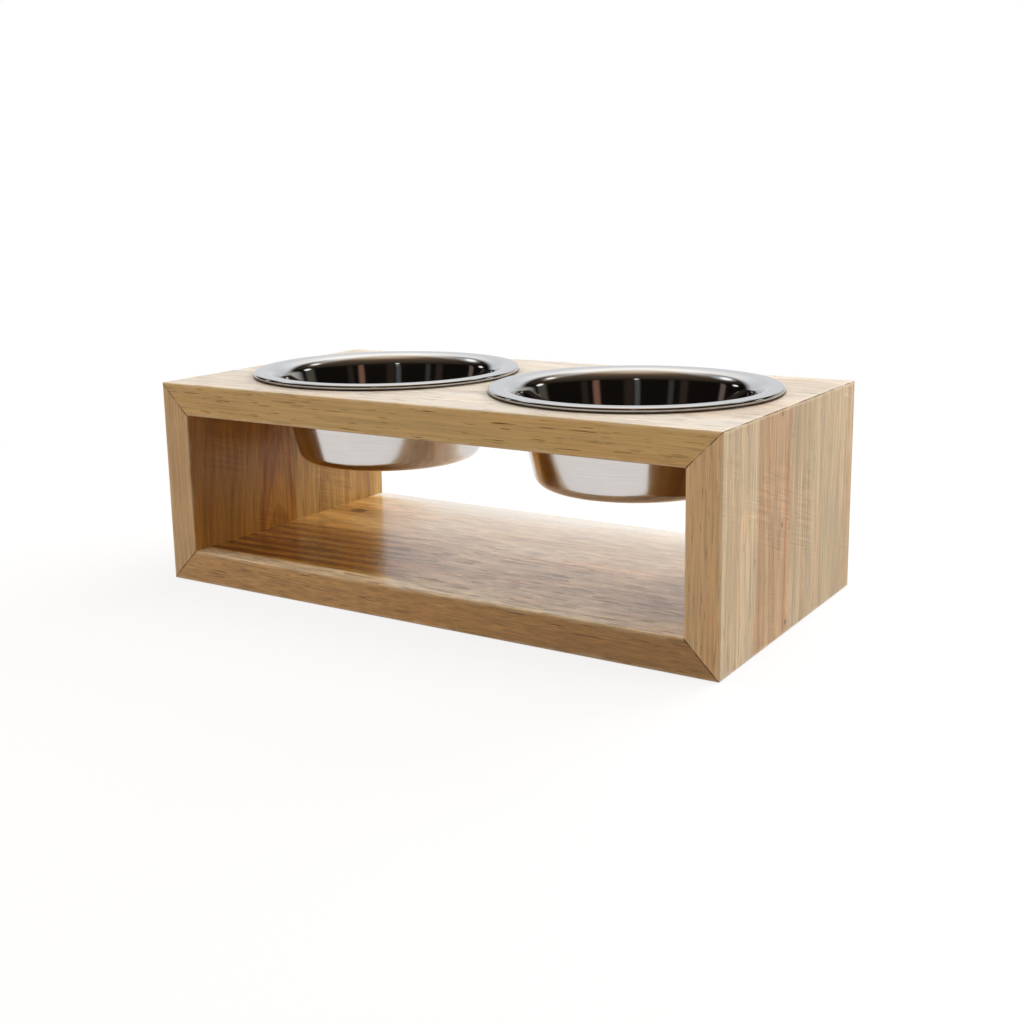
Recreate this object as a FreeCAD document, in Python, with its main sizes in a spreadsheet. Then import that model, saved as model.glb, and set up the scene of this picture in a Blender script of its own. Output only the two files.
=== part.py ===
import FreeCAD, Part
import math
import os

import Sketcher
from FreeCAD import Placement, Rotation, Vector

# A raised pet feeder: four pine boards joined at mitred corners into an open frame,
# with two flanged steel bowls that hang by their rims in holes in the top board.
# X runs along the frame, the open front faces -Y and Z is up from the floor.

# Driving sizes in millimetres, with the turn of the rim's curl in degrees.
SIZES = {
    "mouth_diameter": 150,
    "base_diameter": 121,
    "bowl_depth": 61,
    "flange_width": 15,
    "bead_diameter": 3.3,
    "bead_turn": 250,
    "roll_radius": 10,
    "corner_radius": 8,
    "sheet_thickness": 0.6,
    "seat_clearance": 0.3,
    "hole_clearance": 2.5,
    "hole_edge_round": 1.5,
    "rim_gap": 10,
    "end_margin": 15,
    "front_margin": 17,
    "rear_margin": 7,
    "under_bowl_gap": 55,
    "board_thickness": 21,
    "edge_round": 1.2,
    "left_front_stave_width": 101,
    "right_front_stave_width": 96,
    "biscuit_length": 47,
    "biscuit_width": 15,
    "biscuit_thickness": 4,
    "biscuit_inset": 8,
    "blade_radius": 50,
    "slot_clearance": 0.1,
    "slot_spare_depth": 0.5,
}

# Sizes of the frame that follow from the bowls it carries and the margins round them.
FOLLOWING_SIZES = {
    "mouth_radius": "sizes.mouth_diameter / 2",
    "rim_radius": "mouth_radius + sizes.flange_width",
    "hole_radius": "mouth_radius + sizes.hole_clearance",
    "bead_radius": "sizes.bead_diameter / 2",
    "rim_height": "sizes.seat_clearance + sizes.bead_diameter",
    "bowl_drop": "sizes.bowl_depth + sizes.sheet_thickness - rim_height",
    "bowl_x": "rim_radius + sizes.rim_gap / 2",
    "bowl_y": "(sizes.front_margin - sizes.rear_margin) / 2",
    "half_length": "bowl_x + rim_radius + sizes.end_margin",
    "half_depth": "rim_radius + (sizes.front_margin + sizes.rear_margin) / 2",
    "stand_height": "sizes.board_thickness + sizes.under_bowl_gap + bowl_drop",
    "left_glue_line": "sizes.left_front_stave_width - half_depth",
    "right_glue_line": "sizes.right_front_stave_width - half_depth",
    "slot_width": "sizes.biscuit_thickness + 2 * sizes.slot_clearance",
    "slot_depth": "sizes.biscuit_width / 2 + sizes.slot_spare_depth",
    "slot_shift": "(sizes.biscuit_inset * sqrt(2)) / 2",
}

# Positions on a sketch element, in Sketcher's numbering.
START = 1
END = 2
CENTRE = 3

# How edges are told apart: the millimetres within which two places count as one, and the least
# share of an edge's direction that lies along the axis it is said to run along.
SAME_PLACE = 0.001
MOSTLY = 0.5

SIDES = {"left": -1, "right": 1}
STAVES = ("front", "rear")

# Each mitred corner: the way it points along X and Z, and the turn about Y that lays a sketch's
# Z along the mitre. The sketch's X then points out of the first board and into the second.
CORNERS = {
    "top_right": (1, 1, 45, ("top", "right")),
    "bottom_right": (1, -1, 135, ("right", "bottom")),
    "bottom_left": (-1, -1, 225, ("bottom", "left")),
    "top_left": (-1, 1, 315, ("left", "top")),
}

doc = FreeCAD.newDocument("pet_bowl_stand")
sizes = doc.addObject("Spreadsheet::Sheet", "sizes")
worked = doc.addObject("Spreadsheet::Sheet", "worked")


def fill_sheet(sheet, cells):
    """Write names in the first column and their values, with aliases, in the second."""
    for row, (alias, content) in enumerate(cells.items(), start=1):
        sheet.set(f"A{row}", alias)
        sheet.set(f"B{row}", content)
        sheet.setAlias(f"B{row}", alias)
    doc.recompute()


def value(expression):
    """The present value of an expression on the sheets."""
    return float(sizes.evalExpression(expression))


def dimension(sketch, kind, place, expression):
    """Add a driving dimension to a sketch and tie it to the sheets."""
    index = sketch.addConstraint(Sketcher.Constraint(kind, *place, value(expression)))
    sketch.setExpression(f"Constraints[{index}]", expression)


def join(sketch, first, second):
    """Join the end of one sketch element to the start of another."""
    sketch.addConstraint(Sketcher.Constraint("Coincident", first, END, second, START))


def place_point(sketch, element, position, x, y):
    """Dimension a point of a sketch from the sketch's origin."""
    dimension(sketch, "DistanceX", (element, position), x)
    dimension(sketch, "DistanceY", (element, position), y)


def draw_polygon(sketch, corners):
    """Closed outline of straight lines between corners given as pairs of expressions."""
    points = [Vector(value(x), value(y), 0) for x, y in corners]
    lines = []
    for start, end in zip(points, points[1:] + points[:1]):
        lines.append(sketch.addGeometry(Part.LineSegment(start, end)))
    for line, following in zip(lines, lines[1:] + lines[:1]):
        join(sketch, line, following)
    for line, (x, y) in zip(lines, corners):
        place_point(sketch, line, START, x, y)


def draw_circle(sketch, x, y, radius):
    """Circle with its centre and radius given as expressions."""
    centre = Vector(value(x), value(y), 0)
    circle = sketch.addGeometry(Part.Circle(centre, Vector(0, 0, 1), value(radius)))
    place_point(sketch, circle, CENTRE, x, y)
    dimension(sketch, "Radius", (circle,), radius)


def new_body(label):
    """Empty body that becomes the sub-part of that name."""
    body = doc.addObject("PartDesign::Body", label)
    body.Label = label
    return body


def new_sketch(body, role):
    """Sketch on one of the body's own origin planes."""
    plane = next(feature for feature in body.Origin.OriginFeatures if feature.Role == role)
    sketch = body.newObject("Sketcher::SketchObject", f"{body.Label}_sketch")
    sketch.AttachmentSupport = (plane, [""])
    sketch.MapMode = "FlatFace"
    return sketch


def add_feature(body, kind, sketch, length, symmetric):
    """Pad or Pocket of a sketch, over a length given as an expression."""
    feature = body.newObject(f"PartDesign::{kind}", f"{body.Label}_{kind.lower()}")
    feature.Profile = sketch
    feature.SideType = "Symmetric" if symmetric else "One side"
    feature.setExpression("Length", length)
    doc.recompute()
    return feature


def cut(body, sketch, length):
    """Pocket to both sides of a sketch that has to take material away."""
    before = body.Shape.Volume
    feature = add_feature(body, "Pocket", sketch, length, symmetric=True)
    if body.Shape.Volume >= before:
        raise RuntimeError(f"{feature.Name} cuts nothing")


def round_edges(body, radius, wanted):
    """Fillet the body's edges whose direction and middle the test picks."""
    base = body.Tip
    names = []
    for number, edge in enumerate(base.Shape.Edges, start=1):
        direction = edge.tangentAt(edge.FirstParameter)
        if wanted(edge, direction, edge.CenterOfMass):
            names.append(f"Edge{number}")
    fillet = body.newObject("PartDesign::Fillet", f"{body.Label}_fillet")
    fillet.Base = (base, names)
    fillet.setExpression("Radius", radius)
    doc.recompute()


def mill_blank(label, x_span, y_span, z_span):
    """Square-edged plank between two expressions along each axis."""
    body = new_body(label)
    sketch = new_sketch(body, "XY_Plane")
    sketch.setExpression("AttachmentOffset.Base.z", z_span[0])
    draw_polygon(sketch, [(x, y) for x, y in zip(
        (x_span[0], x_span[1], x_span[1], x_span[0]),
        (y_span[0], y_span[0], y_span[1], y_span[1]))])
    add_feature(body, "Pad", sketch, f"{z_span[1]} - ({z_span[0]})", symmetric=False)
    return body


def cut_mitre(body, corner, board):
    """Saw a board's end off along the mitre, one thickness past both its faces."""
    way_x, way_z, _, _ = CORNERS[corner]
    thickness = "sizes.board_thickness"
    middle = "worked.stand_height / 2"
    near_x = f"{way_x} * (worked.half_length - 2 * {thickness})"
    far_x = f"{way_x} * (worked.half_length + {thickness})"
    near_z = f"{middle} + {way_z} * ({middle} - 2 * {thickness})"
    far_z = f"{middle} + {way_z} * ({middle} + {thickness})"
    waste = (far_x, near_z) if board in ("top", "bottom") else (near_x, far_z)
    sketch = new_sketch(body, "XZ_Plane")
    draw_polygon(sketch, [(near_x, near_z), (far_x, far_z), waste])
    cut(body, sketch, "4 * worked.half_depth")


def slot_place(corner):
    """Expressions for where a corner's biscuits cross the mitre, along X and Z."""
    way_x, way_z, _, _ = CORNERS[corner]
    inner = "sizes.board_thickness - worked.slot_shift"
    middle = "worked.stand_height / 2"
    return (f"{way_x} * (worked.half_length - ({inner}))",
            f"{middle} + {way_z} * ({middle} - ({inner}))")


def cut_slot(body, corner, board, y):
    """Plunge a round saw blade square into the mitre to half-house one biscuit."""
    _, _, turn, boards = CORNERS[corner]
    x, z = slot_place(corner)
    sketch = new_sketch(body, "XY_Plane")
    sketch.AttachmentOffset = Placement(Vector(), Rotation(Vector(0, 1, 0), turn))
    sketch.setExpression("AttachmentOffset.Base.x", x)
    sketch.setExpression("AttachmentOffset.Base.z", z)
    outward = 1 if boards.index(board) == 0 else -1
    draw_circle(sketch, f"{outward} * (sizes.blade_radius - worked.slot_depth)", y, "sizes.blade_radius")
    cut(body, sketch, "worked.slot_width")


def stave_middles(side):
    """Expressions for the middles of a side's front and rear staves, along Y."""
    glue_line = f"worked.{side}_glue_line"
    return {"front": f"({glue_line} - worked.half_depth) / 2",
            "rear": f"({glue_line} + worked.half_depth) / 2"}


def join_board(body, board, staves):
    """Cut both mitred ends of a board and the slots of the named staves in them."""
    for corner, (way_x, _, _, boards) in CORNERS.items():
        if board in boards:
            side = "right" if way_x > 0 else "left"
            cut_mitre(body, corner, board)
            for stave in staves:
                cut_slot(body, corner, board, stave_middles(side)[stave])


def make_level_board(board, z_span, outer_face):
    """Top or bottom board: a plank with eased edges and mitred ends."""
    body = mill_blank(f"{board}_board", ("-worked.half_length", "worked.half_length"),
                      ("-worked.half_depth", "worked.half_depth"), z_span)
    outer_z = value(outer_face)

    def eased(edge, direction, middle):
        runs_along = abs(direction.x) > MOSTLY
        on_outer_end = abs(direction.y) > MOSTLY and abs(middle.z - outer_z) < SAME_PLACE
        return runs_along or on_outer_end

    round_edges(body, "sizes.edge_round", eased)
    join_board(body, board, STAVES)
    return body


def bore_bowl_holes(body):
    """Two round holes through the top board, with their edges eased."""
    for way in SIDES.values():
        sketch = new_sketch(body, "XY_Plane")
        draw_circle(sketch, f"{way} * worked.bowl_x", "worked.bowl_y", "worked.hole_radius")
        sketch.setExpression("AttachmentOffset.Base.z", "worked.stand_height")
        cut(body, sketch, "4 * sizes.board_thickness")
    radius = value("worked.hole_radius")

    def rim_of_hole(edge, direction, middle):
        return isinstance(edge.Curve, Part.Circle) and abs(edge.Curve.Radius - radius) < SAME_PLACE

    round_edges(body, "sizes.hole_edge_round", rim_of_hole)


def make_side(side):
    """A side of two upright staves, edge to edge at a glue line and mitred at both ends."""
    way = SIDES[side]
    x_span = (f"{way} * (worked.half_length - sizes.board_thickness)", f"{way} * worked.half_length")
    y_spans = {"front": ("-worked.half_depth", f"worked.{side}_glue_line"),
               "rear": (f"worked.{side}_glue_line", "worked.half_depth")}
    outer_x = way * value("worked.half_length")
    staves = []
    for stave, y_span in y_spans.items():
        body = mill_blank(f"{side}_{stave}_stave", x_span, y_span, ("0", "worked.stand_height"))
        outer_y = value(y_span[0 if stave == "front" else 1])

        def eased(edge, direction, middle):
            on_open_edge = abs(direction.z) > MOSTLY and abs(middle.y - outer_y) < SAME_PLACE
            on_outer_end = abs(direction.y) > MOSTLY and abs(middle.x - outer_x) < SAME_PLACE
            return on_open_edge or on_outer_end

        round_edges(body, "sizes.edge_round", eased)
        join_board(body, side, (stave,))
        staves.append(body)
    return staves


def make_biscuit(corner, stave):
    """Pressed beech biscuit, a lens with its tips cut off, half in each board of a mitre."""
    way_x, _, turn, _ = CORNERS[corner]
    side = "right" if way_x > 0 else "left"
    body = new_body(f"biscuit_{corner}_{stave}")
    sketch = new_sketch(body, "XY_Plane")
    blade = value("sizes.blade_radius")
    half_length = value("sizes.biscuit_length / 2")
    centre_x = "sizes.blade_radius - sizes.biscuit_width / 2"
    tip_x = (blade ** 2 - half_length ** 2) ** 0.5 - value(centre_x)
    tips = [Vector(tip_x, -half_length, 0), Vector(tip_x, half_length, 0),
            Vector(-tip_x, half_length, 0), Vector(-tip_x, -half_length, 0)]
    crowns = [Vector(value("sizes.biscuit_width / 2"), 0, 0), Vector(-value("sizes.biscuit_width / 2"), 0, 0)]
    right = sketch.addGeometry(Part.Arc(tips[0], crowns[0], tips[1]))
    far = sketch.addGeometry(Part.LineSegment(tips[1], tips[2]))
    left = sketch.addGeometry(Part.Arc(tips[2], crowns[1], tips[3]))
    near = sketch.addGeometry(Part.LineSegment(tips[3], tips[0]))
    for element, following in ((right, far), (far, left), (left, near), (near, right)):
        join(sketch, element, following)
    for arc, way in ((right, -1), (left, 1)):
        place_point(sketch, arc, CENTRE, f"{way} * ({centre_x})", "0")
        dimension(sketch, "Radius", (arc,), "sizes.blade_radius")
    for line, way in ((far, 1), (near, -1)):
        sketch.addConstraint(Sketcher.Constraint("Horizontal", line))
        dimension(sketch, "DistanceY", (line, START), f"{way} * sizes.biscuit_length / 2")
    add_feature(body, "Pad", sketch, "sizes.biscuit_thickness", symmetric=True)
    x, z = slot_place(corner)
    body.Placement = Placement(Vector(), Rotation(Vector(0, 1, 0), turn))
    body.setExpression("Placement.Base.x", x)
    body.setExpression("Placement.Base.y", stave_middles(side)[stave])
    body.setExpression("Placement.Base.z", z)
    return body


def point_on(centre, radius, towards):
    """The point of a circle that faces another point."""
    return centre + (towards - centre).normalize() * radius


def draw_bowl_line(sketch):
    """The bowl's inner face as one open line, from the middle of its floor to the end of its curl.

    The sketch's X is the radius and its Y the height above the board. The wall runs between two
    sharp corners, where it would meet the floor and the flange, and arcs round both of them off.
    """
    rim_top = value("worked.rim_height")
    floor = rim_top - value("sizes.bowl_depth")
    base = Vector(value("sizes.base_diameter / 2"), floor, 0)
    mouth = Vector(value("worked.mouth_radius"), rim_top, 0)
    up_wall = (mouth - base).normalize()
    half_turn_in = math.acos(-up_wall.x) / 2
    corner_radius = value("sizes.corner_radius")
    roll_radius = value("sizes.roll_radius")
    bead_radius = value("worked.bead_radius")
    corner_run = corner_radius / math.tan(half_turn_in)
    roll_run = roll_radius / math.tan(half_turn_in)
    floor_end = base - Vector(corner_run, 0, 0)
    wall_start = base + up_wall * corner_run
    wall_end = mouth - up_wall * roll_run
    flange_start = mouth + Vector(roll_run, 0, 0)
    flange_end = Vector(value("worked.rim_radius") - bead_radius, rim_top, 0)
    corner_middle = point_on(floor_end + Vector(0, corner_radius, 0), corner_radius, base)
    roll_middle = point_on(flange_start - Vector(0, roll_radius, 0), roll_radius, mouth)
    to_bead_top = Vector(0, bead_radius, 0)
    bead_centre = flange_end - to_bead_top
    turn = value("sizes.bead_turn")
    bead_middle = bead_centre + Rotation(Vector(0, 0, 1), -turn / 2).multVec(to_bead_top)
    bead_end = bead_centre + Rotation(Vector(0, 0, 1), -turn).multVec(to_bead_top)

    floor_line = sketch.addGeometry(Part.LineSegment(Vector(0, floor, 0), floor_end))
    corner_arc = sketch.addGeometry(Part.Arc(floor_end, corner_middle, wall_start))
    wall_line = sketch.addGeometry(Part.LineSegment(wall_start, wall_end))
    roll_arc = sketch.addGeometry(Part.Arc(wall_end, roll_middle, flange_start))
    flange_line = sketch.addGeometry(Part.LineSegment(flange_start, flange_end))
    bead_arc = sketch.addGeometry(Part.Arc(flange_end, bead_middle, bead_end))
    sharp_wall = sketch.addGeometry(Part.LineSegment(base, mouth))
    sketch.setConstruction(sharp_wall, True)

    # A sketch counts an arc anticlockwise, so the roll and the bead run from END to START here.
    for first, first_end, second, second_end in (
            (floor_line, END, corner_arc, START), (corner_arc, END, wall_line, START),
            (wall_line, END, roll_arc, END), (roll_arc, START, flange_line, START),
            (flange_line, END, bead_arc, END)):
        sketch.addConstraint(Sketcher.Constraint("Tangent", first, first_end, second, second_end))
    for line in (floor_line, flange_line):
        sketch.addConstraint(Sketcher.Constraint("Horizontal", line))
    for end in (START, END):
        sketch.addConstraint(Sketcher.Constraint("PointOnObject", wall_line, end, sharp_wall))
    floor_height = "worked.rim_height - sizes.bowl_depth"
    place_point(sketch, sharp_wall, START, "sizes.base_diameter / 2", floor_height)
    place_point(sketch, sharp_wall, END, "worked.mouth_radius", "worked.rim_height")
    place_point(sketch, floor_line, START, "0", floor_height)
    dimension(sketch, "DistanceY", (flange_line, START), "worked.rim_height")
    dimension(sketch, "DistanceX", (bead_arc, CENTRE), "worked.rim_radius - worked.bead_radius")
    dimension(sketch, "Radius", (corner_arc,), "sizes.corner_radius")
    dimension(sketch, "Radius", (roll_arc,), "sizes.roll_radius")
    dimension(sketch, "Radius", (bead_arc,), "worked.bead_radius")
    span = sketch.addConstraint(Sketcher.Constraint("Angle", bead_arc, math.radians(turn)))
    sketch.setExpression(f"Constraints[{span}]", "sizes.bead_turn")


def make_bowl(side):
    """Bowl spun from one sheet: its line thickened outwards, then turned round the bowl's axis."""
    line = doc.addObject("Sketcher::SketchObject", f"{side}_bowl_line")
    line.Placement = Placement(Vector(), Rotation(Vector(1, 0, 0), 90))
    draw_bowl_line(line)
    sheet = doc.addObject("Part::Offset2D", f"{side}_bowl_sheet")
    sheet.Source = line
    sheet.Mode = "Skin"
    sheet.Fill = True
    sheet.setExpression("Value", "-sizes.sheet_thickness")
    bowl = doc.addObject("Part::Revolution", f"{side}_bowl")
    bowl.Label = f"{side}_bowl"
    bowl.Source = sheet
    bowl.Axis = Vector(0, 0, 1)
    bowl.Base = Vector()
    bowl.Angle = 360
    bowl.Solid = True
    bowl.setExpression("Placement.Base.x", f"{SIDES[side]} * worked.bowl_x")
    bowl.setExpression("Placement.Base.y", "worked.bowl_y")
    bowl.setExpression("Placement.Base.z", "worked.stand_height")
    return bowl


def check(nodes):
    """Stop if anything in the document failed or a sub-part isn't one sound solid."""
    for thing in doc.Objects:
        if {"Invalid", "Error"} & set(thing.State):
            raise RuntimeError(f"{thing.Label} failed: {thing.State}")
    for node in nodes:
        shape = node.Shape
        if shape.isNull() or not shape.isValid() or len(shape.Solids) != 1:
            raise RuntimeError(f"{node.Label} isn't one sound solid")


def main():
    fill_sheet(sizes, {alias: str(size) for alias, size in SIZES.items()})
    fill_sheet(worked, {alias: f"={formula}" for alias, formula in FOLLOWING_SIZES.items()})

    top = make_level_board("top", ("worked.stand_height - sizes.board_thickness", "worked.stand_height"),
                           "worked.stand_height")
    bore_bowl_holes(top)
    bottom = make_level_board("bottom", ("0", "sizes.board_thickness"), "0")
    nodes = [top, bottom]
    for side in SIDES:
        nodes += make_side(side)
    for corner in CORNERS:
        for stave in STAVES:
            nodes.append(make_biscuit(corner, stave))
    for side in SIDES:
        nodes.append(make_bowl(side))
    doc.recompute()

    check(nodes)
    os.makedirs("parts", exist_ok=True)
    for node in nodes:
        node.Shape.exportStep(f"parts/{node.Label}.step")
        box = node.Shape.BoundBox
        print(f"{node.Label}: {node.Shape.Volume / 1000:.2f} cm3, "
              f"{box.XLength:.1f} x {box.YLength:.1f} x {box.ZLength:.1f} mm")


main()
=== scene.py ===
# %% [markdown]
# # A raised feeder in pine and steel
#
# Two pressed steel bowls hang by their flanges in a mitred pine frame. The sizes are already settled
# in the solids that this script loads, so the lesson is about looks: wood that has grown, lacquer that
# has been brushed on, and steel that shows the room around it. Lengths in the scene are metres.

# %% Load the solids
import math
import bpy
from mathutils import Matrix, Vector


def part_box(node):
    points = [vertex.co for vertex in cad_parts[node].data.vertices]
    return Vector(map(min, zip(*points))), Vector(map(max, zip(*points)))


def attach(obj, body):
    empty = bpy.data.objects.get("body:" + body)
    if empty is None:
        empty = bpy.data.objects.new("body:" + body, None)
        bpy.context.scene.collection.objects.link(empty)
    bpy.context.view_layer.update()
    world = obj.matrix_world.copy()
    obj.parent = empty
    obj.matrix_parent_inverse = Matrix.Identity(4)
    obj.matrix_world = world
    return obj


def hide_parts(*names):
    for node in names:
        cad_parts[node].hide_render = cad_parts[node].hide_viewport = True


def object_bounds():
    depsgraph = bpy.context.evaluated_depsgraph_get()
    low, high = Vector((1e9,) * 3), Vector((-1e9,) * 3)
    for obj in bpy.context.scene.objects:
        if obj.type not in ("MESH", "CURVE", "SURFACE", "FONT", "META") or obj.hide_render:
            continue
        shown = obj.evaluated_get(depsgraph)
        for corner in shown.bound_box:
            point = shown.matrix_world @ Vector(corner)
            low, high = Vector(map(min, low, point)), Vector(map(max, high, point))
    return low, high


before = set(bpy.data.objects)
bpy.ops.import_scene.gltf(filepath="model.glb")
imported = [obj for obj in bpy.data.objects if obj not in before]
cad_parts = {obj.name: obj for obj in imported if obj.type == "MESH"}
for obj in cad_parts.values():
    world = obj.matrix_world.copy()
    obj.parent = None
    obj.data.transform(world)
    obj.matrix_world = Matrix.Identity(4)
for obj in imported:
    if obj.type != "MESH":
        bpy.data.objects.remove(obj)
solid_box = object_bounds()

from types import SimpleNamespace
import bpy
import bmesh
from mathutils import Matrix, Vector

print("solids:", len(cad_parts), "box:", [round(c, 4) for corner in solid_box for c in corner])

# %% [markdown]
# ## Writing shaders as sums
#
# A wood or steel finish is mostly arithmetic on positions: distances, bands, masks. Wiring each sum by
# hand hides the idea, so a small class wraps a socket and lets Python's own operators add the Math
# nodes. Every other node comes from one method, which sets the node up before it feeds its sockets.


# %% A socket that can be used in sums
class Wire:
    """An output socket of a node tree."""

    def __init__(self, tree, socket):
        self.tree = tree
        self.socket = socket

    @classmethod
    def node(cls, tree, kind, settings=None, inputs=None, output=0):
        """Add a node: its settings first, then values or links for its sockets."""
        made = tree.nodes.new(kind)
        for name, value in (settings or {}).items():
            if name == "stops":
                set_stops(made.color_ramp, value)
            else:
                setattr(made, name, value)
        for name, value in (inputs or {}).items():
            if isinstance(value, Wire):
                tree.links.new(value.socket, made.inputs[name])
            else:
                made.inputs[name].default_value = value
        return cls(tree, made.outputs[output]) if made.outputs else None

    def math(self, operation, *values):
        settings = {"operation": operation}
        return Wire.node(self.tree, "ShaderNodeMath", settings, dict(enumerate(values)))

    def __add__(self, other):
        return self.math("ADD", self, other)

    def __radd__(self, other):
        return self.math("ADD", other, self)

    def __sub__(self, other):
        return self.math("SUBTRACT", self, other)

    def __rsub__(self, other):
        return self.math("SUBTRACT", other, self)

    def __mul__(self, other):
        return self.math("MULTIPLY", self, other)

    def __rmul__(self, other):
        return self.math("MULTIPLY", other, self)

    def __truediv__(self, other):
        return self.math("DIVIDE", self, other)

    def __pow__(self, other):
        return self.math("POWER", self, other)

    def __abs__(self):
        return self.math("ABSOLUTE", self)


def set_stops(ramp, stops):
    """Give a colour ramp its (position, colour) stops, in order."""
    ramp.elements[0].position = stops[0][0]
    ramp.elements[1].position = stops[-1][0]
    for position, _ in stops[1:-1]:
        ramp.elements.new(position)
    for element, (_, colour) in zip(ramp.elements, stops):
        element.color = (*colour, 1.0)


print("a socket takes + - * / ** and abs")

# %% Words for numbers and vectors
NOISE_MIDDLE, NOISE_SPREAD = 0.5, 3.0


def smooth(value, low, high):
    """0 below low, 1 above high, an S curve between; low may be the larger."""
    inputs = {"Value": value, "From Min": low, "From Max": high}
    return Wire.node(value.tree, "ShaderNodeMapRange", {"interpolation_type": "SMOOTHSTEP"}, inputs)


def vector(x, y, z):
    tree = next(part.tree for part in (x, y, z) if isinstance(part, Wire))
    return Wire.node(tree, "ShaderNodeCombineXYZ", None, {0: x, 1: y, 2: z})


def split(wire):
    """The three parts of a vector."""
    parts = Wire.node(wire.tree, "ShaderNodeSeparateXYZ", None, {0: wire}).socket.node
    return [Wire(wire.tree, part) for part in parts.outputs]


def length(wire):
    return Wire.node(wire.tree, "ShaderNodeVectorMath", {"operation": "LENGTH"}, {0: wire}, "Value")


def scaled(value, level):
    """A vector, or a colour, times a number."""
    tree = next(part.tree for part in (value, level) if isinstance(part, Wire))
    return Wire.node(tree, "ShaderNodeVectorMath", {"operation": "SCALE"}, {0: value, "Scale": level})


def noise(place, detail, roughness=0.5):
    """Cloudy noise about 0, mostly within 0.6 of it, one cloud to a unit of place."""
    inputs = {"Vector": place, "Scale": 1.0, "Detail": detail, "Roughness": roughness}
    return (Wire.node(place.tree, "ShaderNodeTexNoise", None, inputs) - NOISE_MIDDLE) * NOISE_SPREAD


print("words ready: smooth, vector, split, length, scaled, noise")

# %% Words for colours and finishes
# A Mix node has sockets for numbers, vectors and colours side by side. These are its colour ones.
MIX_SHARE, MIX_FIRST, MIX_SECOND, MIX_RESULT = 0, 6, 7, 2


def rgb(red, green, blue):
    return (red, green, blue, 1.0)


def blend(share, first, second, way="MIX"):
    """Colour first where share is 0, second where it is 1."""
    settings = {"data_type": "RGBA", "blend_type": way}
    inputs = {MIX_SHARE: share, MIX_FIRST: first, MIX_SECOND: second}
    return Wire.node(share.tree, "ShaderNodeMix", settings, inputs, MIX_RESULT)


def tint(share, colour, film):
    """A colour seen through a clear film of another, by its share."""
    return blend(share, colour, film, "MULTIPLY")


def new_finish(name):
    finish = bpy.data.materials.new(name)
    finish.use_nodes = True
    finish.node_tree.nodes.clear()
    return finish


def bump(height, distance):
    """A normal that follows a height, in units of a distance in metres."""
    return Wire.node(height.tree, "ShaderNodeBump", None, {"Distance": distance, "Height": height})


def principled(sockets):
    tree = sockets["Base Color"].tree
    return Wire.node(tree, "ShaderNodeBsdfPrincipled", None, sockets)


def show(surface):
    """Send a surface to the output of its finish."""
    Wire.node(surface.tree, "ShaderNodeOutputMaterial", None, {"Surface": surface})


print("words ready: rgb, blend, tint, new_finish, bump, principled, show")

# %% [markdown]
# ## Camera
#
# The feeder is seen from its front right corner, a little above the bowls. The place was found by
# fitting the frame's straight edges and the rims' ellipses, so it is written as angles, a distance and
# the point that the lens looks at. A small downward shift keeps the uprights nearly parallel.

# %% Set the camera
CAMERA_TURN = math.radians(32.56)
CAMERA_RISE = math.radians(11.83)
CAMERA_ROLL = math.radians(-0.91)
CAMERA_DISTANCE = 0.8757
LOOKED_AT = Vector((0.0080, 0.0, 0.0764))
SENSOR_MM = 36.0
LENS_MM = 47.36
LENS_SHIFT = -0.041

back = Vector((math.sin(CAMERA_TURN) * math.cos(CAMERA_RISE),
               -math.cos(CAMERA_TURN) * math.cos(CAMERA_RISE),
               math.sin(CAMERA_RISE)))
level = Vector((0, 0, 1)).cross(back).normalized()
upright = back.cross(level)
right = level * math.cos(CAMERA_ROLL) + upright * math.sin(CAMERA_ROLL)
up = upright * math.cos(CAMERA_ROLL) - level * math.sin(CAMERA_ROLL)

lens = bpy.data.cameras.new("lens")
lens.sensor_width = SENSOR_MM
lens.lens = LENS_MM
lens.shift_y = LENS_SHIFT
camera = bpy.data.objects.new("camera", lens)
camera.matrix_world = Matrix.Translation(LOOKED_AT + back * CAMERA_DISTANCE) @ Matrix(
    (right, up, back)).transposed().to_4x4()
bpy.context.scene.collection.objects.link(camera)
bpy.context.scene.camera = camera
bpy.context.scene.view_settings.view_transform = "Standard"
print("camera at", [round(c, 3) for c in camera.matrix_world.translation])

# %% [markdown]
# ## Studio
#
# Polished steel has no look of its own: it shows the room. Here the room is a white sweep behind the
# feeder, a pale ceiling, and a dim side where the camera stands. Real cards and flags would get in the
# way of other views, so the room is drawn on the world by direction. The camera itself sees plain
# white, and a pale floor carries the shadow.

# %% Directions in the room
world = bpy.data.worlds.new("studio")
world.use_nodes = True
sky = world.node_tree
sky.nodes.clear()
bpy.context.scene.world = world

east, north, height = split(Wire.node(sky, "ShaderNodeTexCoord", output="Generated"))
azimuth = east.math("ARCTAN2", east, north) * math.degrees(1)
elevation = height.math("ARCSINE", height) * math.degrees(1)


def turned_from(bearing):
    """How far, in degrees, a direction is turned from a compass bearing (0 is +Y, 90 is +X)."""
    turn = azimuth - bearing
    return abs(turn.math("WRAP", turn, 180.0, -180.0))


print("compass nodes:", len(sky.nodes))

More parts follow.
